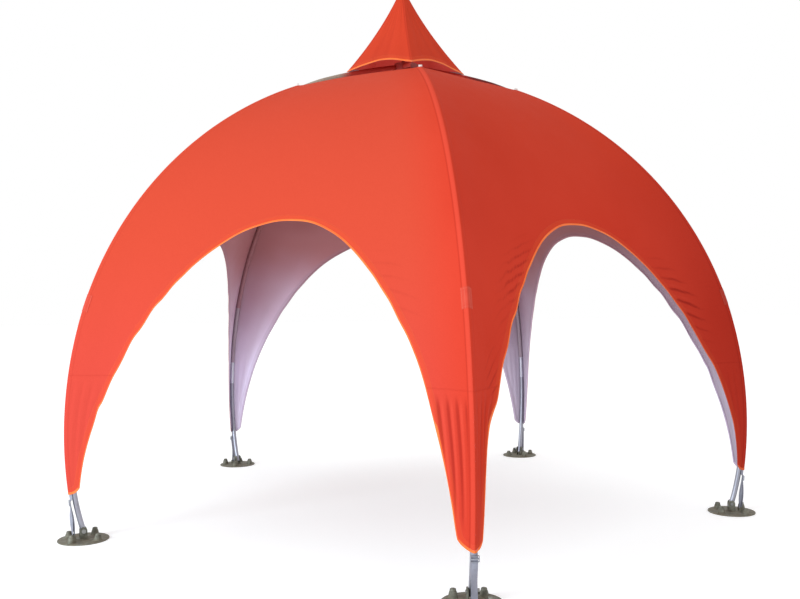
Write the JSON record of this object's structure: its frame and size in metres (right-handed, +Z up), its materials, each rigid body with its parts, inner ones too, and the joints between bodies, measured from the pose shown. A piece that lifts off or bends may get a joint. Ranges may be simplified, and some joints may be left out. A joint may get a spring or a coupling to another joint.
{
  "type": "event dome tent",
  "caption": "Open-sided event dome tent: a red fabric canopy over bowed ribs that stand on round foot plates, with a pointed cap over the crown vent.",
  "frame": {"origin": "on the ground under the middle of the tent's box", "axes": "+Z up; one leg towards -Y and one arch straight towards +Y; +X to the right of the front leg"},
  "size_m": [5.2042, 4.9666, 4.29],
  "materials": {
    "canopy_red": "matte coated polyester",
    "pole_metal": "satin",
    "plate_steel": "dull dark paint",
    "pin_steel": "worn zinc",
    "strap_grey": "woven webbing",
    "toggle_white": "matte"
  },
  "bodies": {
    "root": {"canopy_panel_1": "canopy_red", "canopy_panel_2": "canopy_red", "canopy_panel_3": "canopy_red", "canopy_panel_4": "canopy_red", "canopy_panel_5": "canopy_red", "leg_pole_1": "pole_metal", "leg_pole_2": "pole_metal", "leg_pole_3": "pole_metal", "leg_pole_4": "pole_metal", "leg_pole_5": "pole_metal", "arch_pole_1": "pole_metal", "arch_pole_2": "pole_metal", "arch_pole_3": "pole_metal", "arch_pole_4": "pole_metal", "arch_pole_5": "pole_metal", "crown_pole_1": "pole_metal", "crown_pole_2": "pole_metal", "crown_pole_3": "pole_metal", "crown_pole_4": "pole_metal", "crown_pole_5": "pole_metal", "foot_plate_1": "plate_steel", "foot_plate_2": "plate_steel", "foot_plate_3": "plate_steel", "foot_plate_4": "plate_steel", "foot_plate_5": "plate_steel", "foot_pin_1": "pin_steel", "foot_pin_2": "pin_steel", "foot_pin_3": "pin_steel", "foot_pin_4": "pin_steel", "foot_pin_5": "pin_steel", "strap_1": "strap_grey", "strap_2": "strap_grey", "strap_3": "strap_grey", "strap_4": "strap_grey", "strap_5": "strap_grey", "toggle_1": "toggle_white", "toggle_2": "toggle_white", "toggle_3": "toggle_white", "toggle_4": "toggle_white", "toggle_5": "toggle_white", "crown_hub": "pole_metal", "cap_mast": "pole_metal", "cap": "canopy_red"}
  },
  "joints": []
}
